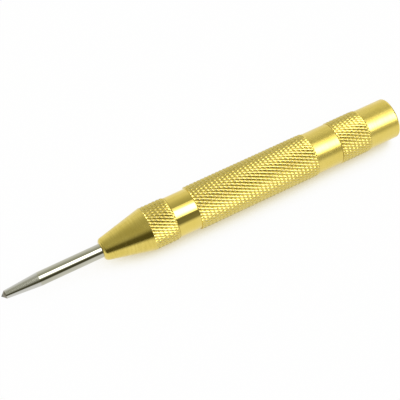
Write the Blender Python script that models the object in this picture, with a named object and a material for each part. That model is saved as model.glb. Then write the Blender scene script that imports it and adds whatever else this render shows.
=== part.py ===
# Automatic center punch. Pressing the point cocks a sprung hammer, which then drops and strikes the point.
# Metres, +Z up. The tool lies along X with its point to -X, resting on the grip at z = 0.
# Stations along the tool are measured from the tip of the point. Radii are built up from the inside outward.

import math

import bmesh
import bpy
from mathutils import Vector

# Clearances
SEAT_GAP = 0.0002
SLIDE_GAP = 0.00015
THREAD_GAP = 0.00015
SPRING_GAP = 0.00025
STEM_GAP = 0.0002
LAND_GAP = 0.0002

# Punch: the steel rod that marks the work
PUNCH_D = 0.00416
PUNCH_REACH = 0.0306
POINT_D = 0.0025
POINT_ANGLE = math.radians(90)
TAPER_LENGTH = 0.0114
FLANGE_RIM = 0.0013
FLANGE_THICKNESS = 0.002
CUP_R = 0.0013

# Nose: cone, knurled ring and the threaded spigot behind them
NOSE_LIP = 0.00095
NOSE_EDGE_R = 0.0006
CONE_LENGTH = 0.01455
NOSE_RING_LENGTH = 0.00775
NOSE_RING_RISE = 0.00035
NOSE_SPIGOT_LENGTH = 0.0076
NOSE_SPIGOT_WALL = 0.0011

# Barrel: plain band, grip, plain band and the threaded spigot that takes the cap
FRONT_BAND_WALL = 0.00147
FRONT_BAND_LENGTH = 0.0067
GRIP_RISE = 0.00052
GRIP_LENGTH = 0.03925
REAR_BAND_STEP = 0.00036
REAR_BAND_LENGTH = 0.0079
PARTITION_THICKNESS = 0.004
MOUTH_RISE = 0.00065
MOUTH_DEPTH = 0.001
REAR_SPIGOT_WALL = 0.00125
REAR_SPIGOT_MARGIN = 0.0008

# Tail cap
CAP_WALL = 0.00114
CAP_RING_RISE = 0.00038
CAP_RING_LENGTH = 0.01016
CAP_PLAIN_LENGTH = 0.00994
CAP_FLOOR = 0.0024
CAP_EDGE_R = 0.0006

# Striking mechanism
STROKE = 0.0095
HAMMER_D = 0.0071
HAMMER_LENGTH = 0.024
STRIKE_MARGIN = 0.0006
LAND_R = 0.0019
LAND_ENTRY = 0.0005
STEM_R = 0.00125
NECK_LENGTH = 0.0007
COLLAR_R = 0.0029
COLLAR_THICKNESS = 0.0012
PIN_CANT = math.radians(2.0)
SPRING_GUIDE_LENGTH = 0.004
SEAT_THICKNESS = 0.0015
DRILL_POINT = math.radians(118)

# Springs
MAIN_WIRE_D = 0.0011
MAIN_TURNS = 14
RETURN_WIRE_D = 0.0005
RETURN_TURNS = 6
RETURN_ROOM = 0.0047
CLOSED_GAP = 0.00045
POINTS_PER_TURN = 14

# Edges, and the sides of each round form
EDGE = 0.0004
FINE_EDGE = 0.0002
RING_RUN_OUT = 0.0014
OUTER_SIDES = 32
INNER_SIDES = 32
ARC_STEPS = 4

# Radii, from the punch outward
PUNCH_R = PUNCH_D / 2
POINT_R = POINT_D / 2
POINT_LENGTH = POINT_R / math.tan(POINT_ANGLE / 2)
GUIDE_R = PUNCH_R + SLIDE_GAP
MOUTH_LIP_R = GUIDE_R + NOSE_LIP
FLANGE_R = PUNCH_R + FLANGE_RIM
CHAMBER_R = FLANGE_R + SLIDE_GAP
NOSE_SPIGOT_R = CHAMBER_R + NOSE_SPIGOT_WALL
SOCKET_R = NOSE_SPIGOT_R + THREAD_GAP
FRONT_BAND_R = SOCKET_R + FRONT_BAND_WALL
NOSE_RING_R = FRONT_BAND_R + NOSE_RING_RISE
GRIP_R = FRONT_BAND_R + GRIP_RISE
REAR_BAND_R = GRIP_R - REAR_BAND_STEP
PIN_HOLE_R = LAND_R + LAND_GAP
MOUTH_R = PIN_HOLE_R + MOUTH_RISE

# Radii, from the hammer outward
HAMMER_R = HAMMER_D / 2
HAMMER_HOLE_R = STEM_R + STEM_GAP
BORE_R = HAMMER_R + SLIDE_GAP
REAR_SPIGOT_R = BORE_R + REAR_SPIGOT_WALL
CAP_BORE_R = REAR_SPIGOT_R + THREAD_GAP
CAP_R = CAP_BORE_R + CAP_WALL
CAP_RING_R = CAP_R + CAP_RING_RISE
SEAT_R = CAP_BORE_R - SPRING_GAP
MAIN_COIL_R = BORE_R - SPRING_GAP - MAIN_WIRE_D / 2
SPRING_GUIDE_R = MAIN_COIL_R * math.cos(math.pi / POINTS_PER_TURN) - MAIN_WIRE_D / 2 - SPRING_GAP

# Stations of the outer pieces
NOSE_FRONT_X = PUNCH_REACH
CONE_END_X = NOSE_FRONT_X + CONE_LENGTH
NOSE_RING_END_X = CONE_END_X + NOSE_RING_LENGTH
NOSE_SPIGOT_END_X = NOSE_RING_END_X + NOSE_SPIGOT_LENGTH
BARREL_FRONT_X = NOSE_RING_END_X + SEAT_GAP
GRIP_FRONT_X = BARREL_FRONT_X + FRONT_BAND_LENGTH
GRIP_REAR_X = GRIP_FRONT_X + GRIP_LENGTH
SHOULDER_X = GRIP_REAR_X + REAR_BAND_LENGTH
CAP_FRONT_X = SHOULDER_X + SEAT_GAP
CAP_RING_END_X = CAP_FRONT_X + CAP_RING_LENGTH
TAIL_X = CAP_RING_END_X + CAP_PLAIN_LENGTH

# Stations of the mechanism, set by the wall in the barrel, the stroke and the cap's floor
PARTITION_FRONT_X = NOSE_SPIGOT_END_X + SEAT_GAP
PARTITION_REAR_X = PARTITION_FRONT_X + PARTITION_THICKNESS
COLLAR_REAR_X = PARTITION_FRONT_X - STROKE - RETURN_ROOM
PIVOT_X = COLLAR_REAR_X - COLLAR_THICKNESS - NECK_LENGTH
FLANGE_FRONT_X = PIVOT_X - FLANGE_THICKNESS
CHAMBER_X = FLANGE_FRONT_X - SEAT_GAP
LAND_END_X = PARTITION_FRONT_X + MOUTH_DEPTH + LAND_ENTRY - STROKE
HAMMER_FRONT_X = PARTITION_REAR_X + SEAT_GAP
STEM_TIP_X = HAMMER_FRONT_X - SEAT_GAP
HAMMER_REAR_X = HAMMER_FRONT_X + HAMMER_LENGTH
HAMMER_HOLE_X = HAMMER_FRONT_X + STROKE - STRIKE_MARGIN
CAP_FLOOR_X = TAIL_X - CAP_FLOOR
SEAT_REAR_X = CAP_FLOOR_X - SEAT_GAP
SEAT_FRONT_X = SEAT_REAR_X - SEAT_THICKNESS
REAR_SPIGOT_END_X = SEAT_FRONT_X - REAR_SPIGOT_MARGIN

# The grip lies on one of its flats, with the tool's middle over the origin
AXIS_HEIGHT = GRIP_R * math.cos(math.pi / OUTER_SIDES)


def arc(x, r, radius, start, end):
    """Points on an arc about (x, r), with angles in degrees from the tail's direction."""
    turns = [math.radians(start + (end - start) * i / ARC_STEPS) for i in range(ARC_STEPS + 1)]
    return [(x + radius * math.cos(a), max(0.0, r + radius * math.sin(a))) for a in turns]


def finish(name, colour, roughness):
    material = bpy.data.materials.new(name)
    material.use_nodes = True
    surface = material.node_tree.nodes["Principled BSDF"]
    surface.inputs["Base Color"].default_value = (*colour, 1.0)
    surface.inputs["Metallic"].default_value = 1.0
    surface.inputs["Roughness"].default_value = roughness
    return material


def place(name, data, origin_x, material, tool):
    data.materials.append(material)
    piece = bpy.data.objects.new(name, data)
    bpy.context.scene.collection.objects.link(piece)
    piece.parent = tool
    piece.location = (origin_x, 0, 0)
    return piece


def turned(name, outline, origin_x, sides, material, tool):
    """Spins an outline of (station, radius) points about the tool's axis. An end on the axis closes the form."""
    form = bmesh.new()
    half = math.pi / sides
    across = Vector((0, math.sin(half), math.cos(half)))
    points = [form.verts.new(Vector((x - origin_x, 0, 0)) + across * r) for x, r in outline]
    pairs = list(zip(points, points[1:]))
    if outline[0][1] > 0:
        pairs.append((points[-1], points[0]))
    edges = [form.edges.new(pair) for pair in pairs]
    bmesh.ops.spin(form, geom=points + edges, cent=(0, 0, 0), axis=(1, 0, 0), angle=2 * math.pi,
                   steps=sides, use_merge=True)
    bmesh.ops.remove_doubles(form, verts=form.verts, dist=1e-6)
    bmesh.ops.recalc_face_normals(form, faces=form.faces)
    mesh = bpy.data.meshes.new(name)
    form.to_mesh(mesh)
    form.free()
    mesh.shade_smooth()
    mesh.set_sharp_from_angle(angle=math.radians(25))
    return place(name, mesh, origin_x, material, tool)


def coil_points(front, rear, front_r, rear_r, turns, wire_d):
    """Points of a helix between two stations, with one closed turn at each end."""
    closed = wire_d + CLOSED_GAP
    open_pitch = (rear - front - 2 * closed) / (turns - 2)
    points = []
    for i in range(turns * POINTS_PER_TURN + 1):
        turn = i / POINTS_PER_TURN
        middle = min(max(turn - 1, 0), turns - 2)
        x = front + closed * (min(turn, 1) + max(turn - turns + 1, 0)) + open_pitch * middle
        r = front_r + (rear_r - front_r) * (x - front) / (rear - front)
        angle = 2 * math.pi * turn
        points.append(Vector((x, r * math.sin(angle), r * math.cos(angle))))
    return points


def least_gap(points, wire_d):
    """The smallest space between two turns, measured on the points."""
    apart = POINTS_PER_TURN // 2
    return min((a - b).length for i, a in enumerate(points) for b in points[i + apart:]) - wire_d


def coil_spring(name, points, wire_d, origin_x, material, tool):
    wire = bpy.data.curves.new(name, "CURVE")
    wire.dimensions = "3D"
    wire.bevel_depth = wire_d / 2
    wire.bevel_resolution = 1
    wire.use_fill_caps = True
    line = wire.splines.new("POLY")
    line.points.add(len(points) - 1)
    for target, point in zip(line.points, points):
        target.co = (point.x - origin_x, point.y, point.z, 1.0)
    print(f"{name}: least gap between turns {least_gap(points, wire_d) * 1000:.2f} mm")
    return place(name, wire, origin_x, material, tool)


def punch_point(tool):
    outline = [
        (0, 0),
        (POINT_LENGTH, POINT_R),
        (TAPER_LENGTH, PUNCH_R),
        (FLANGE_FRONT_X, PUNCH_R),
        (FLANGE_FRONT_X, FLANGE_R - FINE_EDGE),
        (FLANGE_FRONT_X + FINE_EDGE, FLANGE_R),
        (PIVOT_X - FINE_EDGE, FLANGE_R),
        (PIVOT_X, FLANGE_R - FINE_EDGE),
        *arc(PIVOT_X, 0, CUP_R, 90, 180),
    ]
    turned("punch_point", outline, 0, INNER_SIDES, finish("hardened_steel", (0.55, 0.54, 0.52), 0.22), tool)


def nose_cone(tool):
    outline = [
        (NOSE_FRONT_X, GUIDE_R),
        *arc(NOSE_FRONT_X + NOSE_EDGE_R, MOUTH_LIP_R - NOSE_EDGE_R, NOSE_EDGE_R, 180, 100),
        (CONE_END_X, NOSE_RING_R),
        (NOSE_RING_END_X - RING_RUN_OUT, NOSE_RING_R),
        (NOSE_RING_END_X, NOSE_RING_R - EDGE),
        (NOSE_RING_END_X, NOSE_SPIGOT_R),
        (NOSE_SPIGOT_END_X - EDGE, NOSE_SPIGOT_R),
        (NOSE_SPIGOT_END_X, NOSE_SPIGOT_R - EDGE),
        (NOSE_SPIGOT_END_X, CHAMBER_R),
        (CHAMBER_X, CHAMBER_R),
        (CHAMBER_X, GUIDE_R),
    ]
    turned("nose_cone", outline, 0, OUTER_SIDES, finish("nose_brass", (0.62, 0.48, 0.11), 0.34), tool)


def barrel(tool):
    outline = [
        (BARREL_FRONT_X, SOCKET_R),
        (BARREL_FRONT_X, FRONT_BAND_R - FINE_EDGE),
        (BARREL_FRONT_X + FINE_EDGE, FRONT_BAND_R),
        (GRIP_FRONT_X, FRONT_BAND_R),
        (GRIP_FRONT_X, GRIP_R - EDGE),
        (GRIP_FRONT_X + EDGE, GRIP_R),
        (GRIP_REAR_X - RING_RUN_OUT, GRIP_R),
        (GRIP_REAR_X, REAR_BAND_R),
        (SHOULDER_X - FINE_EDGE, REAR_BAND_R),
        (SHOULDER_X, REAR_BAND_R - FINE_EDGE),
        (SHOULDER_X, REAR_SPIGOT_R),
        (REAR_SPIGOT_END_X - EDGE, REAR_SPIGOT_R),
        (REAR_SPIGOT_END_X, REAR_SPIGOT_R - EDGE),
        (REAR_SPIGOT_END_X, BORE_R),
        (PARTITION_REAR_X, BORE_R),
        (PARTITION_REAR_X, PIN_HOLE_R),
        (PARTITION_FRONT_X + MOUTH_DEPTH, PIN_HOLE_R),
        (PARTITION_FRONT_X, MOUTH_R),
        (PARTITION_FRONT_X, SOCKET_R),
    ]
    turned("barrel", outline, 0, OUTER_SIDES, finish("barrel_brass", (0.66, 0.51, 0.12), 0.3), tool)


def tail_cap(tool):
    outline = [
        (CAP_FLOOR_X, 0),
        (CAP_FLOOR_X, CAP_BORE_R),
        (CAP_FRONT_X + FINE_EDGE, CAP_BORE_R),
        (CAP_FRONT_X, CAP_BORE_R + FINE_EDGE),
        (CAP_FRONT_X, CAP_RING_R - EDGE),
        (CAP_FRONT_X + EDGE, CAP_RING_R),
        (CAP_RING_END_X - RING_RUN_OUT, CAP_RING_R),
        (CAP_RING_END_X, CAP_R),
        *arc(TAIL_X - CAP_EDGE_R, CAP_R - CAP_EDGE_R, CAP_EDGE_R, 90, 0),
        (TAIL_X, 0),
    ]
    turned("tail_cap", outline, CAP_FRONT_X, OUTER_SIDES, finish("cap_brass", (0.64, 0.5, 0.12), 0.32), tool)


def hammer(tool):
    outline = [
        (HAMMER_HOLE_X + HAMMER_HOLE_R / math.tan(DRILL_POINT / 2), 0),
        (HAMMER_HOLE_X, HAMMER_HOLE_R),
        (HAMMER_FRONT_X + FINE_EDGE, HAMMER_HOLE_R),
        (HAMMER_FRONT_X, HAMMER_HOLE_R + FINE_EDGE),
        (HAMMER_FRONT_X, HAMMER_R - EDGE),
        (HAMMER_FRONT_X + EDGE, HAMMER_R),
        (HAMMER_REAR_X - EDGE, HAMMER_R),
        (HAMMER_REAR_X, HAMMER_R - EDGE),
        (HAMMER_REAR_X, SPRING_GUIDE_R),
        (HAMMER_REAR_X + SPRING_GUIDE_LENGTH - EDGE, SPRING_GUIDE_R),
        (HAMMER_REAR_X + SPRING_GUIDE_LENGTH, SPRING_GUIDE_R - EDGE),
        (HAMMER_REAR_X + SPRING_GUIDE_LENGTH, 0),
    ]
    turned("hammer", outline, HAMMER_FRONT_X, INNER_SIDES, finish("hammer_steel", (0.4, 0.4, 0.41), 0.35), tool)


def trip_pin(tool):
    ball_r = CUP_R - SEAT_GAP
    outline = [
        *arc(PIVOT_X, 0, ball_r, 180, 90),
        (PIVOT_X + NECK_LENGTH, ball_r),
        (PIVOT_X + NECK_LENGTH, COLLAR_R),
        (COLLAR_REAR_X, COLLAR_R),
        (COLLAR_REAR_X, LAND_R),
        (LAND_END_X, LAND_R),
        (LAND_END_X + LAND_R - STEM_R, STEM_R),
        (STEM_TIP_X - FINE_EDGE, STEM_R),
        (STEM_TIP_X, STEM_R - FINE_EDGE),
        (STEM_TIP_X, 0),
    ]
    steel = finish("pin_steel", (0.5, 0.5, 0.5), 0.28)
    pin = turned("trip_pin", outline, PIVOT_X, INNER_SIDES, steel, tool)
    pin.rotation_euler.y = PIN_CANT


def spring_seat(tool):
    outline = [
        (SEAT_FRONT_X - SPRING_GUIDE_LENGTH, 0),
        (SEAT_FRONT_X - SPRING_GUIDE_LENGTH, SPRING_GUIDE_R - EDGE),
        (SEAT_FRONT_X - SPRING_GUIDE_LENGTH + EDGE, SPRING_GUIDE_R),
        (SEAT_FRONT_X, SPRING_GUIDE_R),
        (SEAT_FRONT_X, SEAT_R),
        (SEAT_REAR_X, SEAT_R),
        (SEAT_REAR_X, 0),
    ]
    turned("spring_seat", outline, SEAT_FRONT_X, INNER_SIDES, finish("seat_steel", (0.45, 0.45, 0.46), 0.4), tool)


def main_spring(tool):
    inset = MAIN_WIRE_D / 2 + SEAT_GAP
    points = coil_points(HAMMER_REAR_X + inset, SEAT_FRONT_X - inset, MAIN_COIL_R, MAIN_COIL_R,
                         MAIN_TURNS, MAIN_WIRE_D)
    steel = finish("main_spring_steel", (0.35, 0.35, 0.36), 0.3)
    coil_spring("main_spring", points, MAIN_WIRE_D, SEAT_FRONT_X, steel, tool)


def return_spring(tool):
    inset = RETURN_WIRE_D / 2 + SEAT_GAP
    front_r = LAND_R / math.cos(math.pi / POINTS_PER_TURN) + LAND_GAP + RETURN_WIRE_D / 2
    rear_r = CHAMBER_R - SLIDE_GAP - RETURN_WIRE_D / 2
    points = coil_points(COLLAR_REAR_X + inset, PARTITION_FRONT_X - inset, front_r, rear_r,
                         RETURN_TURNS, RETURN_WIRE_D)
    steel = finish("return_spring_steel", (0.45, 0.45, 0.46), 0.28)
    coil_spring("return_spring", points, RETURN_WIRE_D, PARTITION_FRONT_X, steel, tool)


def main():
    for old in list(bpy.data.objects):
        bpy.data.objects.remove(old, do_unlink=True)
    tool = bpy.data.objects.new("tool_axis", None)
    bpy.context.scene.collection.objects.link(tool)
    tool.location = (-TAIL_X / 2, 0, AXIS_HEIGHT)
    punch_point(tool)
    nose_cone(tool)
    barrel(tool)
    tail_cap(tool)
    hammer(tool)
    trip_pin(tool)
    spring_seat(tool)
    main_spring(tool)
    return_spring(tool)
    print(f"length {TAIL_X * 1000:.2f} mm, grip {GRIP_R * 2000:.2f} mm across")


main()
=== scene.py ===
import math

import bmesh
import bpy
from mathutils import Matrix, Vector


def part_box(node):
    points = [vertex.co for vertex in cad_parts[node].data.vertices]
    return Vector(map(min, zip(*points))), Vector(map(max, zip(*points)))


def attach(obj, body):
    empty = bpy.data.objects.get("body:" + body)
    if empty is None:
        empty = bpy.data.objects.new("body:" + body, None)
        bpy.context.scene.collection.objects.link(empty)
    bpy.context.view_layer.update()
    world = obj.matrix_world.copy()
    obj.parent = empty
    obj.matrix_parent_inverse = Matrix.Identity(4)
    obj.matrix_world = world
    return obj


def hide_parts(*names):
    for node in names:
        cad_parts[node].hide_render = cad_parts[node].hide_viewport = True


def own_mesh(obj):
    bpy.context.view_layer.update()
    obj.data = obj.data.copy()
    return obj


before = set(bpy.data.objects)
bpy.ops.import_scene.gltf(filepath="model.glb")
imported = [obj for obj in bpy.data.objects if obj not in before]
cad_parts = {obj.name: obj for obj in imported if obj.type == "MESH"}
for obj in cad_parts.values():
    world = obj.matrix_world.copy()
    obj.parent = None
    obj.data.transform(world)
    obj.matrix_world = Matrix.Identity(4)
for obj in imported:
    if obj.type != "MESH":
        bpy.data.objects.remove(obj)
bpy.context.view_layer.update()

# Stations are millimetres along the tool from the tip of the point, radii are millimetres out from its axis.
mm = 0.001
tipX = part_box("punch_point")[0].x
axisHeight = sum(corner.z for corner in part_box("tail_cap")) / 2
axisPoint = (0, 0, axisHeight)
print("frame loaded: tip at", round(tipX, 5), "axis height", round(axisHeight, 6))


# Shader sums: a socket that takes + - * / and powers, and one way to add any other node.
class Value:
    def __init__(self, bench, socket):
        self.bench = bench
        self.socket = socket

    def sum(self, operation, first, second):
        return self.bench.add("ShaderNodeMath", {"operation": operation}, {0: first, 1: second})

    def __add__(self, other):
        return self.sum("ADD", self, other)

    def __radd__(self, other):
        return self.sum("ADD", other, self)

    def __sub__(self, other):
        return self.sum("SUBTRACT", self, other)

    def __rsub__(self, other):
        return self.sum("SUBTRACT", other, self)

    def __mul__(self, other):
        return self.sum("MULTIPLY", self, other)

    def __rmul__(self, other):
        return self.sum("MULTIPLY", other, self)

    def __truediv__(self, other):
        return self.sum("DIVIDE", self, other)

    def __rtruediv__(self, other):
        return self.sum("DIVIDE", other, self)

    def __pow__(self, other):
        return self.sum("POWER", self, other)


class Bench:
    def __init__(self, tree):
        self.tree = tree

    def add(self, kind, settings=None, sockets=None, out=0):
        node = self.tree.nodes.new(kind)
        for name, setting in (settings or {}).items():
            if name == "stops":
                for extra in setting[2:]:
                    node.color_ramp.elements.new(extra[0])
                for stop, (position, colour) in zip(node.color_ramp.elements, setting):
                    stop.position = position
                    stop.color = (*colour, 1.0)
            else:
                setattr(node, name, setting)
        for name, given in (sockets or {}).items():
            self.feed(node.inputs[name], given)
        return Value(self, node.outputs[out]) if len(node.outputs) else node

    def feed(self, socket, given):
        if isinstance(given, Value):
            self.tree.links.new(given.socket, socket)
        else:
            socket.default_value = given

    def mixColour(self, factor, first, second):
        return self.add("ShaderNodeMix", {"data_type": "RGBA"}, {0: factor, 6: first, 7: second}, out=2)

    def ramp(self, given, low, high):
        return self.add("ShaderNodeMapRange", {"clamp": True}, {0: given, 1: low, 2: high})

    def noise(self, place, stretch, detail=2.0):
        laid = self.add("ShaderNodeMapping", {"vector_type": "POINT"}, {"Vector": place, "Scale": stretch})
        return self.add("ShaderNodeTexNoise", None, {"Vector": laid, "Scale": 1.0, "Detail": detail})


def newFinish(name):
    material = bpy.data.materials.new(name)
    material.use_nodes = True
    bench = Bench(material.node_tree)
    place = bench.add("ShaderNodeTexCoord", out="Object")
    return material, bench, place, material.node_tree.nodes["Principled BSDF"]


def dressMetal(bench, surface, tone, rough, height, look):
    distance = look["lineHeight"] * mm
    bump = bench.add("ShaderNodeBump", None, {"Strength": 1.0, "Distance": distance, "Height": height})
    bench.feed(surface.inputs["Base Color"], tone)
    bench.feed(surface.inputs["Roughness"], rough)
    bench.feed(surface.inputs["Normal"], bump)
    surface.inputs["Metallic"].default_value = 1.0


def axisDistance(bench, place):
    apart = [bench.add("ShaderNodeSeparateXYZ", None, {0: place}, out=side) for side in ("Y", "Z")]
    across, up = apart[0], apart[1] - axisHeight
    return (across * across + up * up) ** 0.5


# Brass: turning lines run round the axis, a slow tone wanders over it, the knurl's grooves are painted darker as
# shade and its crests painted paler as a highlight.
brassGrain = {
    "cloudScale": (180, 220, 220),
    "cloudFade": (0.35, 0.65),
    "cloudRough": 0.06,
    "lineFade": (0.3, 0.7),
    "speckScale": (2600, 2600, 2600),
    "crestHighlightFade": (0.55, 0.1),
    "grooveRough": 0.08,
}


def brassFinish(name, look):
    material, bench, place, surface = newFinish(name)
    lines = bench.noise(place, (look["linesPerMetre"], look["lineBreaks"], look["lineBreaks"]), 3.0)
    cloud = bench.noise(place, brassGrain["cloudScale"], 3.0)
    specks = bench.noise(place, brassGrain["speckScale"], 1.0)
    cloudShade = bench.ramp(cloud, *brassGrain["cloudFade"])
    tone = bench.mixColour(cloudShade, (*look["deepTone"], 1), (*look["paleTone"], 1))
    lineShade = bench.ramp(lines, *brassGrain["lineFade"])
    tone = bench.mixColour(lineShade * look["lineTint"], tone, (*look["lineTone"], 1))
    rough = look["rough"] + (lineShade - 0.5) * look["roughSwing"] + (cloud - 0.5) * brassGrain["cloudRough"]
    if "crest" in look:
        groove = bench.ramp(look["crest"] * mm - axisDistance(bench, place), 0.0, look["depth"] * mm)
        # painted highlight: the knurl's crests take a paler, less yellow tone that stands for glints
        tone = bench.mixColour(bench.ramp(groove, *brassGrain["crestHighlightFade"]), tone, (*look["crestHighlightTone"], 1))
        # painted shade: the knurl is coloured darker towards the floors of its grooves
        tone = bench.mixColour(groove * look["grooveShade"], tone, (*look["grooveShadeTone"], 1))
        rough = rough + groove * brassGrain["grooveRough"]
    height = lines + specks * look["speckHeight"]
    dressMetal(bench, surface, tone, rough, height, look)
    return material


# Steel: ground or drawn, with fine lines round the axis, a duller stretch where the point was ground, and painted
# shade on the very tip of the point.
steelGrain = {
    "cloudScale": (160, 240, 240),
    "cloudFade": (0.3, 0.7),
    "groundBlur": 0.00008,
    "drawnLines": 0.15,    # how much of the lines is left where the rod wasn't ground
}


def steelFinish(name, look):
    material, bench, place, surface = newFinish(name)
    lines = bench.noise(place, (look["linesPerMetre"], look["lineBreaks"], look["lineBreaks"]), 3.0)
    cloud = bench.noise(place, steelGrain["cloudScale"], 2.0)
    cloudShade = bench.ramp(cloud, *steelGrain["cloudFade"])
    tone = bench.mixColour(cloudShade, (*look["deepTone"], 1), (*look["paleTone"], 1))
    rough = look["rough"] + (lines - 0.5) * look["roughSwing"]
    height = lines
    if "groundTo" in look:
        along = bench.add("ShaderNodeSeparateXYZ", None, {0: place}, out="X")
        blur = steelGrain["groundBlur"]
        ground = bench.ramp(tipX + look["groundTo"] * mm - along, -blur, blur)
        tip = bench.ramp(tipX + look["tipTo"] * mm - along, -blur, blur)
        tone = bench.mixColour(ground, tone, (*look["groundTone"], 1))
        # painted shade: the tip of the point is coloured dark
        tone = bench.mixColour(tip, tone, (*look["tipShadeTone"], 1))
        rough = rough + ground * look["groundRough"]
        height = lines * (steelGrain["drawnLines"] + ground)
    dressMetal(bench, surface, tone, rough, height, look)
    return material


brassLook = {
    "paleTone": (0.80, 0.64, 0.168),
    "deepTone": (0.76, 0.595, 0.137),
    "lineTone": (0.70, 0.55, 0.09),
    "lineTint": 0.25,
    "linesPerMetre": 5200,
    "lineBreaks": 90,
    "lineHeight": 0.0012,
    "speckHeight": 0.2,
    "rough": 0.24,
    "roughSwing": 0.06,
}
polishedLook = dict(brassLook, rough=0.07, roughSwing=0.03, lineHeight=0.0002, lineTint=0.1)
turnedLook = dict(brassLook, rough=0.17, roughSwing=0.10, lineHeight=0.009, lineTint=0.35,
                  lineTone=(0.52, 0.40, 0.055), linesPerMetre=2400, lineBreaks=260)
# Knurl paint: painted shade in the grooves and a painted highlight on the crests, laid by distance from the axis
grooveShadeLook = {
    "crest": 6.77,
    "depth": 0.34,
    "grooveShade": 0.25,
    "grooveShadeTone": (0.50, 0.38, 0.06),
    "crestHighlightTone": (0.75, 0.66, 0.33),
}
gripLook = dict(brassLook, **grooveShadeLook, rough=0.22, lineHeight=0.0006)
noseRingLook = dict(gripLook, crest=6.60)
capRingLook = dict(gripLook, crest=6.62, depth=0.28)
rodLook = {
    "paleTone": (0.54, 0.53, 0.44),
    "deepTone": (0.48, 0.47, 0.38),
    "linesPerMetre": 5000,
    "lineBreaks": 120,
    "lineHeight": 0.001,
    "rough": 0.05,
    "roughSwing": 0.03,
    "groundTo": 11.4,
    "groundTone": (0.58, 0.575, 0.53),
    "groundRough": 0.08,
    "tipTo": 1.3,
    "tipShadeTone": (0.24, 0.22, 0.17),
}
insideSteelLook = {
    "paleTone": (0.50, 0.50, 0.50),
    "deepTone": (0.40, 0.40, 0.41),
    "linesPerMetre": 4200,
    "lineBreaks": 60,
    "lineHeight": 0.0015,
    "rough": 0.30,
    "roughSwing": 0.10,
}
springLook = dict(insideSteelLook, linesPerMetre=900, lineBreaks=900, rough=0.26)

satinBrass = brassFinish("satinBrass", brassLook)
polishedBrass = brassFinish("polishedBrass", polishedLook)
turnedBrass = brassFinish("turnedBrass", turnedLook)
gripBrass = brassFinish("gripBrass", gripLook)
noseRingBrass = brassFinish("noseRingBrass", noseRingLook)
capRingBrass = brassFinish("capRingBrass", capRingLook)
rodSteel = steelFinish("rodSteel", rodLook)
insideSteel = steelFinish("insideSteel", insideSteelLook)
springSteel = steelFinish("springSteel", springLook)
print("finishes mixed")


# Turning: a ring is added at a station, then pulled along and scaled from one station to the next.
ringNow = {"station": 0.0, "radius": 1.0}
sameRing = 0.004    # points this near to a ring, in millimetres, are on it
paintSlack = 0.01


def startRing(name, station, radius, sides):
    bpy.ops.object.select_all(action="DESELECT")
    bpy.ops.mesh.primitive_circle_add(vertices=sides, radius=radius * mm, rotation=(0, math.pi / 2, 0),
                                      location=(tipX + station * mm, 0, axisHeight))
    piece = bpy.context.object
    piece.name = name
    piece.data.name = name
    bpy.ops.object.transform_apply(location=False, rotation=True, scale=True)
    bpy.ops.object.mode_set(mode="EDIT")
    bpy.ops.mesh.select_mode(type="VERT")
    bpy.ops.mesh.select_all(action="SELECT")
    ringNow.update(station=station, radius=radius)
    return piece


def pullRing(station, radius):
    step = (station - ringNow["station"]) * mm
    grow = radius / ringNow["radius"]
    bpy.ops.mesh.extrude_edges_move(TRANSFORM_OT_translate={"value": (step, 0, 0)})
    bpy.ops.transform.resize(value=(1, grow, grow), center_override=axisPoint)
    ringNow.update(station=station, radius=radius)


def stationOf(piece, point):
    return (piece.location.x + point.co.x - tipX) / mm


def radiusOf(point):
    return math.hypot(point.co.y, point.co.z) / mm


def pick(piece, wanted, kind="VERT"):
    bpy.ops.mesh.select_mode(type=kind)
    bpy.ops.mesh.select_all(action="DESELECT")
    form = bmesh.from_edit_mesh(piece.data)
    items = {"VERT": form.verts, "EDGE": form.edges, "FACE": form.faces}[kind]
    for item in items:
        points = [item] if kind == "VERT" else item.verts
        if all(wanted(stationOf(piece, point), radiusOf(point)) for point in points):
            item.select_set(True)
    form.select_flush_mode()
    bmesh.update_edit_mesh(piece.data)


def onRing(station, radius):
    return lambda at, out: abs(at - station) < sameRing and abs(out - radius) < sameRing


def roundRing(piece, station, radius, width, segments):
    pick(piece, onRing(station, radius), "EDGE")
    bpy.ops.mesh.bevel(offset=width * mm, segments=segments, profile=0.5, affect="EDGES")


def takeRing(piece, station, radius):
    pick(piece, onRing(station, radius))
    ringNow.update(station=station, radius=radius)


def pickLines(piece, wanted):
    bpy.ops.mesh.select_mode(type="EDGE")
    bpy.ops.mesh.select_all(action="DESELECT")
    form = bmesh.from_edit_mesh(piece.data)
    for line in form.edges:
        line.select_set(wanted(*line.verts))
    bmesh.update_edit_mesh(piece.data)


def scalePoints(piece, places, grow):
    bpy.ops.mesh.select_all(action="DESELECT")
    form = bmesh.from_edit_mesh(piece.data)
    form.verts.ensure_lookup_table()
    for place in places:
        form.verts[place].select_set(True)
    bmesh.update_edit_mesh(piece.data)
    bpy.ops.transform.resize(value=(1, grow, grow), center_override=axisPoint)


def joinEnds():
    bpy.ops.mesh.select_mode(type="EDGE")
    bpy.ops.mesh.select_all(action="DESELECT")
    bpy.ops.mesh.select_non_manifold()
    bpy.ops.mesh.bridge_edge_loops()


def paint(piece, finish, wanted):
    if finish.name not in piece.data.materials:
        piece.data.materials.append(finish)
    pick(piece, wanted, "FACE")
    piece.active_material_index = piece.data.materials.find(finish.name)
    bpy.ops.object.material_slot_assign()


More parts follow.
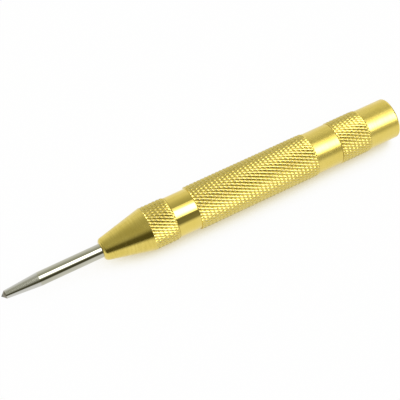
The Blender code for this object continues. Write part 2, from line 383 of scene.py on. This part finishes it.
def finishPiece(piece, body, node, smoothAngle=20, ridges=None):
    bpy.ops.mesh.select_mode(type="VERT")
    bpy.ops.mesh.select_all(action="SELECT")
    bpy.ops.mesh.remove_doubles(threshold=0.0000005)
    bpy.ops.mesh.normals_make_consistent(inside=False)
    bpy.ops.object.mode_set(mode="OBJECT")
    bpy.ops.object.shade_smooth_by_angle(angle=math.radians(smoothAngle))
    if ridges:
        softenKnurl(piece, *ridges)
    weigh = piece.modifiers.new("weigh", "WEIGHTED_NORMAL")  # long faces stay straight beside small rounds
    weigh.keep_sharp = True
    bpy.ops.object.modifier_apply(modifier="weigh")
    bpy.ops.object.transform_apply(location=True, rotation=True, scale=True)
    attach(piece, body)
    if node:
        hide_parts(node)
    print(piece.name, "made:", len(piece.data.polygons), "faces")


# Knurl: rows of points are cut across a plain tube and each point is pressed in by how close it lies to a groove.
# Two families of grooves cross, and a slight twist of the whole tube sets one of them steeper than the other.
knurl = {
    "sides": 160,
    "perGroove": 4,        # forty grooves each way
    "rowStep": 0.6,
    "depth": 0.34,
    "crossDepth": 0.20,
    "ridgeRound": 0.06,
    "twistPerMetre": 10.2,
    "longLine": 0.1,       # lines longer than this run along the tool
    "frontSlack": 0.02,
    "rearSlack": 0.05,
    "evenReach": 0.03,
    "ridgeReach": 0.5,
    "sharpFloor": 0.9,     # share of the depth below which a groove stays sharp
}


def grooveGap(steps):
    place = steps / knurl["perGroove"]
    return abs(place - round(place))


def knurledTube(name, start, end, crest, edge, fade, rearDrop, share=1.0):
    first = start + edge
    piece = startRing(name, first, crest, knurl["sides"])
    pullRing(end, crest)
    pickLines(piece, lambda one, other: abs(one.co.x - other.co.x) > knurl["longLine"] * mm)
    rows = round((end - first) / knurl["rowStep"])
    bpy.ops.mesh.subdivide(number_cuts=rows - 1)

    bpy.ops.mesh.select_mode(type="VERT")
    bpy.ops.mesh.select_all(action="DESELECT")
    form = bmesh.from_edit_mesh(piece.data)
    groups = {}
    ridge = set()
    for point in form.verts:
        at = stationOf(piece, point)
        row = round((at - first) / (end - first) * rows)
        column = round(math.atan2(point.co.y, point.co.z) / (2 * math.pi) * knurl["sides"])
        point.select_set((row + column) % 2 == 0)
        if (row + column) % knurl["perGroove"] == 2 and row < rows:
            ridge.add(point.index)
        late = max(0.0, (at - end + fade) / fade)
        deep = max(knurl["depth"] * (1 - 2 * grooveGap(column + row)),
                   knurl["crossDepth"] * (1 - 2 * grooveGap(column - row))) * share
        radius = min(crest - rearDrop * late ** 2, crest - deep)  # the grooves run out level with the band behind
        groups.setdefault(round(radius, 4), []).append(point.index)
    bmesh.update_edit_mesh(piece.data)
    bpy.ops.mesh.vert_connect()  # splits every cell along the groove or the ridge that crosses it
    for radius, places in groups.items():
        scalePoints(piece, places, radius / crest)
    pickLines(piece, lambda one, other: one.index in ridge and other.index in ridge)
    bpy.ops.mesh.bevel(offset=knurl["ridgeRound"] * share * mm, segments=2, profile=0.5, affect="EDGES")

    bpy.ops.object.mode_set(mode="OBJECT")
    twist = piece.modifiers.new("twist", "SIMPLE_DEFORM")
    twist.deform_method = "TWIST"
    twist.deform_axis = "X"
    twist.angle = knurl["twistPerMetre"] * (end - first) * mm
    bpy.ops.object.modifier_apply(modifier="twist")
    bpy.ops.object.mode_set(mode="EDIT")
    pick(piece, lambda at, out: at < first + knurl["frontSlack"])
    bpy.ops.mesh.extrude_edges_move(TRANSFORM_OT_translate={"value": (-edge * mm, 0, 0)})
    return piece


def evenRing(piece, station, radius):
    form = bmesh.from_edit_mesh(piece.data)
    groups = {}
    for point in form.verts:
        if abs(stationOf(piece, point) - station) < knurl["evenReach"]:
            groups.setdefault(round(radiusOf(point), 4), []).append(point.index)
    bpy.ops.mesh.select_mode(type="VERT")
    for found, places in groups.items():
        scalePoints(piece, places, radius / found)
    takeRing(piece, station, radius)


def softenKnurl(piece, start, end, crest, share=1.0):
    bpy.ops.object.mode_set(mode="EDIT")
    first, last = start + knurl["frontSlack"], end - knurl["rearSlack"]
    inside = crest - knurl["ridgeReach"]
    floor = crest - knurl["sharpFloor"] * knurl["depth"] * share
    pick(piece, lambda at, out: first < at < last and out > inside, "EDGE")
    bpy.ops.mesh.mark_sharp(clear=True)
    pick(piece, lambda at, out: first < at < last and inside < out < floor, "EDGE")
    bpy.ops.mesh.mark_sharp()
    bpy.ops.object.mode_set(mode="OBJECT")


# Punch: a rod with a blunt cone, a ground taper, and the flange that stops it inside the nose.
rod = {
    "sides": 96,
    "pointEnd": 1.25,
    "pointRadius": 1.25,
    "taperEnd": 11.4,
    "radius": 2.08,
    "flangeAt": 42.6,
    "flangeRadius": 3.38,
    "flangeEnd": 44.6,
    "cupRadius": 1.3,
    "cupSteps": (30, 60),
    "cupFloor": 0.17,
    "heel": 0.1,           # short straight ring behind the taper
    "pointRound": 0.08,
    "flangeRound": 0.2,
}
punch = startRing("punchRod", rod["pointEnd"], rod["pointRadius"], rod["sides"])
pullRing(rod["taperEnd"], rod["radius"])
pullRing(rod["taperEnd"] + rod["heel"], rod["radius"])
pullRing(rod["flangeAt"], rod["radius"])
pullRing(rod["flangeAt"], rod["flangeRadius"])
pullRing(rod["flangeEnd"], rod["flangeRadius"])
pullRing(rod["flangeEnd"], rod["cupRadius"])
for turn in rod["cupSteps"]:
    pullRing(rod["flangeEnd"] - rod["cupRadius"] * math.sin(math.radians(turn)),
             rod["cupRadius"] * math.cos(math.radians(turn)))
bpy.ops.mesh.extrude_edges_move(TRANSFORM_OT_translate={"value": (-rod["cupFloor"] * mm, 0, 0)})
bpy.ops.mesh.merge(type="CENTER")
takeRing(punch, rod["pointEnd"], rod["pointRadius"])
bpy.ops.mesh.extrude_edges_move(TRANSFORM_OT_translate={"value": (-rod["pointEnd"] * mm, 0, 0)})
bpy.ops.mesh.merge(type="CENTER")
roundRing(punch, rod["pointEnd"], rod["pointRadius"], rod["pointRound"], 3)
for rim in (rod["flangeAt"], rod["flangeEnd"]):
    roundRing(punch, rim, rod["flangeRadius"], rod["flangeRound"], 3)
punch.data.materials.append(rodSteel)
finishPiece(punch, "punch", "punch_point", 15)

# Nose: the lip round the rod, the cone, the knurled ring and the spigot that screws into the barrel.
nose = {
    "mouthAt": 30.6,
    "mouthRadius": 2.23,
    "lipRadius": 3.22,
    "lipRound": 1.0,
    "mouthRound": 0.3,
    "spigotRound": 0.4,
    "ringSkin": 1,         # faces this close under the ring's crest take the ring's finish
    "coneEnd": 45.15,
    "ringRadius": 6.60,
    "ringEnd": 52.9,
    "ringEdge": 0.06,
    "ringFade": 1.1,
    "ringDrop": 0.40,
    "spigotRadius": 4.63,
    "spigotEnd": 60.5,
    "chamberRadius": 3.53,
    "chamberAt": 42.4,
}
noseBrass = knurledTube("noseBrass", nose["coneEnd"], nose["ringEnd"], nose["ringRadius"],
                        nose["ringEdge"], nose["ringFade"], nose["ringDrop"])
evenRing(noseBrass, nose["coneEnd"], nose["ringRadius"])
pullRing(nose["mouthAt"], nose["lipRadius"])
pullRing(nose["mouthAt"], nose["mouthRadius"])
pullRing(nose["chamberAt"], nose["mouthRadius"])
pullRing(nose["chamberAt"], nose["chamberRadius"])
pullRing(nose["spigotEnd"], nose["chamberRadius"])
takeRing(noseBrass, nose["ringEnd"], nose["ringRadius"] - nose["ringDrop"])
pullRing(nose["ringEnd"], nose["spigotRadius"])
pullRing(nose["spigotEnd"], nose["spigotRadius"])
joinEnds()
roundRing(noseBrass, nose["mouthAt"], nose["lipRadius"], nose["lipRound"], 6)
roundRing(noseBrass, nose["mouthAt"], nose["mouthRadius"], nose["mouthRound"], 3)
roundRing(noseBrass, nose["spigotEnd"], nose["spigotRadius"], nose["spigotRound"], 2)
paint(noseBrass, turnedBrass, lambda at, out: True)
paint(noseBrass, noseRingBrass, lambda at, out: at > nose["coneEnd"] - paintSlack
      and out > nose["ringRadius"] - nose["ringSkin"])
finishPiece(noseBrass, "barrel", "nose_cone",
            ridges=(nose["coneEnd"] + nose["ringEdge"], nose["ringEnd"], nose["ringRadius"]))

# Barrel: polished band, knurled grip, satin band, the spigot under the cap, and the bores inside.
barrel = {
    "front": 52.93,
    "socketRadius": 4.78,
    "bandRadius": 6.25,
    "gripFront": 59.8,
    "gripRadius": 6.77,
    "gripEdge": 0.06,
    "gripEnd": 99.05,
    "gripFade": 1.0,
    "rearBandRadius": 6.41,
    "shoulder": 107.12,
    "spigotRadius": 4.80,
    "spigotEnd": 122.35,
    "boreRadius": 3.70,
    "wallRear": 64.7,
    "pinHoleRadius": 2.1,
    "wallFront": 60.7,
    "mouthRadius": 2.75,
    "mouthDepth": 1.0,
    "edgeRound": 0.08,
    "spigotRound": 0.4,
    "bandSkin": 0.3,
    "gripSkin": 0.1,
}
gripDrop = barrel["gripRadius"] - barrel["rearBandRadius"]
barrelBrass = knurledTube("barrelBrass", barrel["gripFront"], barrel["gripEnd"], barrel["gripRadius"],
                          barrel["gripEdge"], barrel["gripFade"], gripDrop)
evenRing(barrelBrass, barrel["gripFront"], barrel["bandRadius"])
pullRing(barrel["front"], barrel["bandRadius"])
pullRing(barrel["front"], barrel["socketRadius"])
pullRing(barrel["wallFront"], barrel["socketRadius"])
pullRing(barrel["wallFront"], barrel["mouthRadius"])
pullRing(barrel["wallFront"] + barrel["mouthDepth"], barrel["pinHoleRadius"])
pullRing(barrel["wallRear"], barrel["pinHoleRadius"])
pullRing(barrel["wallRear"], barrel["boreRadius"])
pullRing(barrel["spigotEnd"], barrel["boreRadius"])
takeRing(barrelBrass, barrel["gripEnd"], barrel["rearBandRadius"])
pullRing(barrel["shoulder"], barrel["rearBandRadius"])
pullRing(barrel["shoulder"], barrel["spigotRadius"])
pullRing(barrel["spigotEnd"], barrel["spigotRadius"])
joinEnds()
roundRing(barrelBrass, barrel["front"], barrel["bandRadius"], barrel["edgeRound"], 3)
roundRing(barrelBrass, barrel["shoulder"], barrel["rearBandRadius"], barrel["edgeRound"], 3)
roundRing(barrelBrass, barrel["spigotEnd"], barrel["spigotRadius"], barrel["spigotRound"], 2)
paint(barrelBrass, satinBrass, lambda at, out: True)
paint(barrelBrass, polishedBrass, lambda at, out: at < barrel["gripFront"] + paintSlack
      and out > barrel["bandRadius"] - barrel["bandSkin"])
paint(barrelBrass, gripBrass, lambda at, out: barrel["gripFront"] - paintSlack < at < barrel["gripEnd"] + paintSlack
      and out > barrel["bandRadius"] - barrel["gripSkin"])
finishPiece(barrelBrass, "barrel", "barrel",
            ridges=(barrel["gripFront"] + barrel["gripEdge"], barrel["gripEnd"], barrel["gripRadius"]))

# Thread on the rear spigot, which shows when the cap is backed out.
thread = {
    "from": 107.6, "turns": 13, "pitch": 1.0, "root": 4.74, "crest": 5.03, "rootHalf": 0.42, "crestHalf": 0.08,
    "stepsPerTurn": 48,
}
bpy.ops.object.select_all(action="DESELECT")
bpy.ops.mesh.primitive_plane_add(size=mm, rotation=(math.pi / 2, 0, 0),
                                 location=(tipX + thread["from"] * mm, 0, axisHeight))
capThread = bpy.context.object
capThread.name = "capThread"
bpy.ops.object.transform_apply(location=False, rotation=True, scale=True)
bpy.ops.object.mode_set(mode="EDIT")
bpy.ops.mesh.delete(type="ONLY_FACE")
form = bmesh.from_edit_mesh(capThread.data)
for corner in form.verts:
    outer = corner.co.z > 0
    half = thread["crestHalf"] if outer else thread["rootHalf"]
    corner.co = (math.copysign(half * mm, corner.co.x), 0, (thread["crest"] if outer else thread["root"]) * mm)
bmesh.update_edit_mesh(capThread.data)
bpy.ops.object.mode_set(mode="OBJECT")
screw = capThread.modifiers.new("screw", "SCREW")
screw.axis = "X"
screw.screw_offset = thread["pitch"] * mm
screw.iterations = thread["turns"]
screw.steps = screw.render_steps = thread["stepsPerTurn"]
bpy.ops.object.modifier_apply(modifier="screw")
bpy.ops.object.mode_set(mode="EDIT")
bpy.ops.mesh.select_mode(type="EDGE")
bpy.ops.mesh.select_all(action="DESELECT")
bpy.ops.mesh.select_non_manifold()
sink = thread["root"] / thread["crest"]
bpy.ops.transform.resize(value=(1, sink, sink), center_override=axisPoint)
bpy.ops.mesh.fill_holes(sides=4)
capThread.data.materials.append(satinBrass)
finishPiece(capThread, "barrel", None, 25)

# Tail cap: knurled ring, plain end with a small round edge, and the threaded bore.
cap = {
    "front": 107.15,
    "boreRadius": 5.10,
    "ringRadius": 6.62,
    "ringEdge": 0.06,
    "ringEnd": 117.31,
    "ringFade": 1.0,
    "radius": 6.24,
    "tail": 127.25,
    "tailRound": 0.60,
    "floor": 124.85,
    "middle": 0.8,
    "knurlShare": 0.95,
    "frontSink": 0.02,     # the front face starts this far below the groove floor
    "ringSkin": 0.5,
}
capBrass = knurledTube("capBrass", cap["front"], cap["ringEnd"], cap["ringRadius"], cap["ringEdge"],
                       cap["ringFade"], cap["ringRadius"] - cap["radius"], cap["knurlShare"])
evenRing(capBrass, cap["front"], cap["ringRadius"] - knurl["depth"] - cap["frontSink"])
pullRing(cap["front"], cap["boreRadius"])
pullRing(cap["floor"], cap["boreRadius"])
pullRing(cap["floor"], cap["middle"])
bpy.ops.mesh.edge_face_add()
takeRing(capBrass, cap["ringEnd"], cap["radius"])
pullRing(cap["tail"], cap["radius"])
pullRing(cap["tail"], cap["middle"])
bpy.ops.mesh.edge_face_add()
roundRing(capBrass, cap["tail"], cap["radius"], cap["tailRound"], 6)
paint(capBrass, satinBrass, lambda at, out: True)
paint(capBrass, capRingBrass, lambda at, out: at < cap["ringEnd"] + paintSlack
      and out > cap["ringRadius"] - cap["ringSkin"])
finishPiece(capBrass, "tail_cap", "tail_cap",
            ridges=(cap["front"] + cap["ringEdge"], cap["ringEnd"], cap["ringRadius"], cap["knurlShare"]))


# Springs: a wire section is pulled round the axis step by step, with a closed turn at each end.
wireSides = 10


def windSpring(name, look, node):
    steps = look["stepsPerTurn"]
    turns = look["turns"]
    closed = look["wire"] + look["closedGap"]
    length = look["to"] - look["from"] - look["wire"]
    openPitch = (length - 2 * closed) / (turns - 2)
    bpy.ops.object.select_all(action="DESELECT")
    bpy.ops.mesh.primitive_circle_add(vertices=wireSides, radius=look["wire"] / 2 * mm, rotation=(math.pi / 2, 0, 0),
                                      location=(tipX + (look["from"] + look["wire"] / 2) * mm, 0,
                                                axisHeight + look["frontRadius"] * mm))
    spring = bpy.context.object
    spring.name = name
    bpy.ops.object.transform_apply(location=True, rotation=True, scale=True)
    bpy.ops.object.mode_set(mode="EDIT")
    bpy.ops.mesh.select_mode(type="VERT")
    bpy.ops.mesh.select_all(action="SELECT")
    bpy.ops.mesh.edge_face_add()
    angle = 2 * math.pi / steps
    for step in range(turns * steps):
        pitch = closed if step < steps or step >= (turns - 1) * steps else openPitch
        forward = pitch / steps
        outward = (look["rearRadius"] - look["frontRadius"]) * forward / length
        around = angle * step
        slide = Vector((forward, outward * math.sin(around), outward * math.cos(around))) * mm
        bpy.ops.mesh.extrude_region_move(TRANSFORM_OT_translate={"value": slide})
        bpy.ops.transform.rotate(value=angle, orient_axis="X", center_override=axisPoint)
    spring.data.materials.append(springSteel)
    finishPiece(spring, "barrel", node, 40)
    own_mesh(spring)


mainSpring = {
    "from": 89.1, "to": 122.95, "frontRadius": 2.90, "rearRadius": 2.90, "wire": 1.1, "turns": 14,
    "closedGap": 0.12, "stepsPerTurn": 20, "stroke": 9.5,
}
returnSpring = {
    "from": 46.7, "to": 60.5, "frontRadius": 2.42, "rearRadius": 3.12, "wire": 0.5, "turns": 6,
    "closedGap": 0.10, "stepsPerTurn": 20, "stroke": 9.5,
}
windSpring("mainCoil", mainSpring, "main_spring")
windSpring("returnCoil", returnSpring, "return_spring")

for node in ("hammer", "trip_pin", "spring_seat"):
    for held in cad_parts[node].material_slots:
        held.material = insideSteel

# Studio: a white table that glows evenly, with a warm painted shadow near the tool, a soft box overhead that is
# turned a little from the tool, a panel to the right, a black card over the near side that gives the metal its dark
# line, and plain walls that grow greyer towards the ceiling.
studio = {
    "tableSize": 8.0,
    "tableDrop": 6.79,     # millimetres from the axis down to the table
    "tableTone": 0.80,
    "tableShine": 0.97,
    "paintedShadowReach": 0.010,
    "paintedShadowStops": [(0.32, (0.65, 0.57, 0.35)), (0.45, (0.93, 0.90, 0.77)), (0.62, (1, 1, 1))],
    "paintedShadowSamples": 12,
    "lampHeight": 2.0,
    "lamp": {"left": 0.28, "right": 1.10, "near": -1.84, "far": 0.66, "strength": 0.8},
}
bpy.ops.object.select_all(action="DESELECT")
bpy.ops.mesh.primitive_plane_add(size=studio["tableSize"], location=(0, 0, axisHeight - studio["tableDrop"] * mm))
table = bpy.context.object
table.name = "table"
bpy.ops.object.transform_apply(location=True, rotation=True, scale=True)
tableWhite = bpy.data.materials.new("tableWhite")
tableWhite.use_nodes = True
tableWhite.node_tree.nodes.clear()
tableBench = Bench(tableWhite.node_tree)
tone = (studio["tableTone"],) * 3
matt = tableBench.add("ShaderNodeBsdfDiffuse", None, {"Color": (*tone, 1)})
# painted shadow: occlusion near the tool darkens and warms the table's glow, which camera and mirror rays see
openSky = tableBench.add("ShaderNodeAmbientOcclusion", {"samples": studio["paintedShadowSamples"]},
                         {"Distance": studio["paintedShadowReach"]}, out="AO")
paintedShadow = tableBench.add("ShaderNodeValToRGB", {"stops": studio["paintedShadowStops"]}, {0: openSky})
paintedShadowGlow = tableBench.add("ShaderNodeEmission", None, {"Color": paintedShadow, "Strength": 1.0})
rays = [tableBench.add("ShaderNodeLightPath", out=kind)
        for kind in ("Is Camera Ray", "Is Glossy Ray", "Is Transmission Ray")]
seen = rays[0].sum("MAXIMUM", rays[0], rays[1])
seen = seen.sum("MAXIMUM", seen, rays[2])
mixed = tableBench.add("ShaderNodeMixShader", None, {0: seen * studio["tableShine"], 1: matt, 2: paintedShadowGlow})
tableBench.add("ShaderNodeOutputMaterial", None, {"Surface": mixed})
table.data.materials.append(tableWhite)

lamp = studio["lamp"]
lampPlace = ((lamp["left"] + lamp["right"]) / 2, (lamp["near"] + lamp["far"]) / 2, studio["lampHeight"])
bpy.ops.object.light_add(type="AREA", location=lampPlace)
light = bpy.context.object
light.name = "softBox"
light.data.shape = "RECTANGLE"
light.data.size = lamp["right"] - lamp["left"]
light.data.size_y = lamp["far"] - lamp["near"]
light.data.energy = lamp["strength"] * math.pi * light.data.size * light.data.size_y

# Each pair below fades from none to full: directions for walls, card and panel, places on the ceiling for the box.
walls = {
    "stops": [(0.0, (0.90, 0.90, 0.88)), (0.4, (0.85, 0.85, 0.80)), (0.7, (0.60, 0.60, 0.52)),
              (1.0, (0.40, 0.40, 0.31))],
    "endTone": (0.40, 0.40, 0.35, 1),
    "endFade": (0.40, 0.60),
}
blackCard = {"tone": (0.09, 0.085, 0.045, 1), "near": (0.15, -0.25), "right": (0.65, 0.10),
             "bottom": (0.05, 0.25), "top": (0.90, 0.65)}
boxPatch = {"level": 5.0, "near": (-0.75, -0.25), "far": (0.42, 0.14), "left": (-0.10, 0.10), "right": (1.5, 1.1),
            "horizon": (0.05, 0.15)}
sidePanel = {"level": 1.8, "left": (0.52, 0.57), "right": (0.70, 0.62), "near": (0.05, 0.2), "bottom": (0.2, 0.3)}
world = bpy.data.worlds.new("room")
bpy.context.scene.world = world
world.use_nodes = True
world.node_tree.nodes.clear()
roomBench = Bench(world.node_tree)
way = roomBench.add("ShaderNodeTexCoord", out="Generated")
sideWay, depthWay, rise = (roomBench.add("ShaderNodeSeparateXYZ", None, {0: way}, out=side)
                           for side in ("X", "Y", "Z"))
room = roomBench.add("ShaderNodeValToRGB", {"stops": walls["stops"]}, {0: rise})
card = (roomBench.ramp(depthWay, *blackCard["near"]) * roomBench.ramp(sideWay, *blackCard["right"])
        * roomBench.ramp(rise, *blackCard["bottom"]) * roomBench.ramp(rise, *blackCard["top"]))
room = roomBench.mixColour(card, room, blackCard["tone"])
room = roomBench.mixColour(roomBench.ramp(sideWay * sideWay, *walls["endFade"]), room, walls["endTone"])
over = roomBench.ramp(rise, *boxPatch["horizon"])
acrossBox, alongBox = depthWay / rise, sideWay / rise
turned = acrossBox + alongBox    # the box stands askew to the tool
softBox = (roomBench.ramp(turned, *boxPatch["near"]) ** 2 * roomBench.ramp(turned, *boxPatch["far"]) ** 2
           * roomBench.ramp(alongBox, *boxPatch["left"]) * roomBench.ramp(alongBox, *boxPatch["right"]))
panel = (roomBench.ramp(sideWay, *sidePanel["left"]) * roomBench.ramp(sideWay, *sidePanel["right"])
         * roomBench.ramp(depthWay, *sidePanel["near"]) * roomBench.ramp(rise, *sidePanel["bottom"]))
bright = over * (softBox * boxPatch["level"] + panel * sidePanel["level"])
lit = roomBench.add("ShaderNodeCombineXYZ", None, {"X": bright, "Y": bright, "Z": bright})
room = roomBench.add("ShaderNodeVectorMath", {"operation": "ADD"}, {0: room, 1: lit})
fromCamera = roomBench.add("ShaderNodeLightPath", out="Is Camera Ray")
room = roomBench.mixColour(fromCamera, room, (1, 1, 1, 1))
glow = roomBench.add("ShaderNodeBackground", None, {"Color": room, "Strength": 1.0})
roomBench.add("ShaderNodeOutputWorld", None, {"Surface": glow})
print("studio lit")

# Camera: above the near side, turned to the point, as the photograph was taken.
view = {"place": (-0.06836, -0.12783, 0.27398), "turn": (28.637, 0, -27.672), "lens": 94.02,
        "sensor": 36, "nearest": 0.01}
bpy.ops.object.camera_add(location=view["place"], rotation=[math.radians(angle) for angle in view["turn"]])
camera = bpy.context.object
camera.name = "camera"
camera.data.lens = view["lens"]
camera.data.sensor_width = view["sensor"]
camera.data.clip_start = view["nearest"]
bpy.context.scene.camera = camera
bpy.context.scene.view_settings.view_transform = "Standard"

bpy.context.view_layer.update()
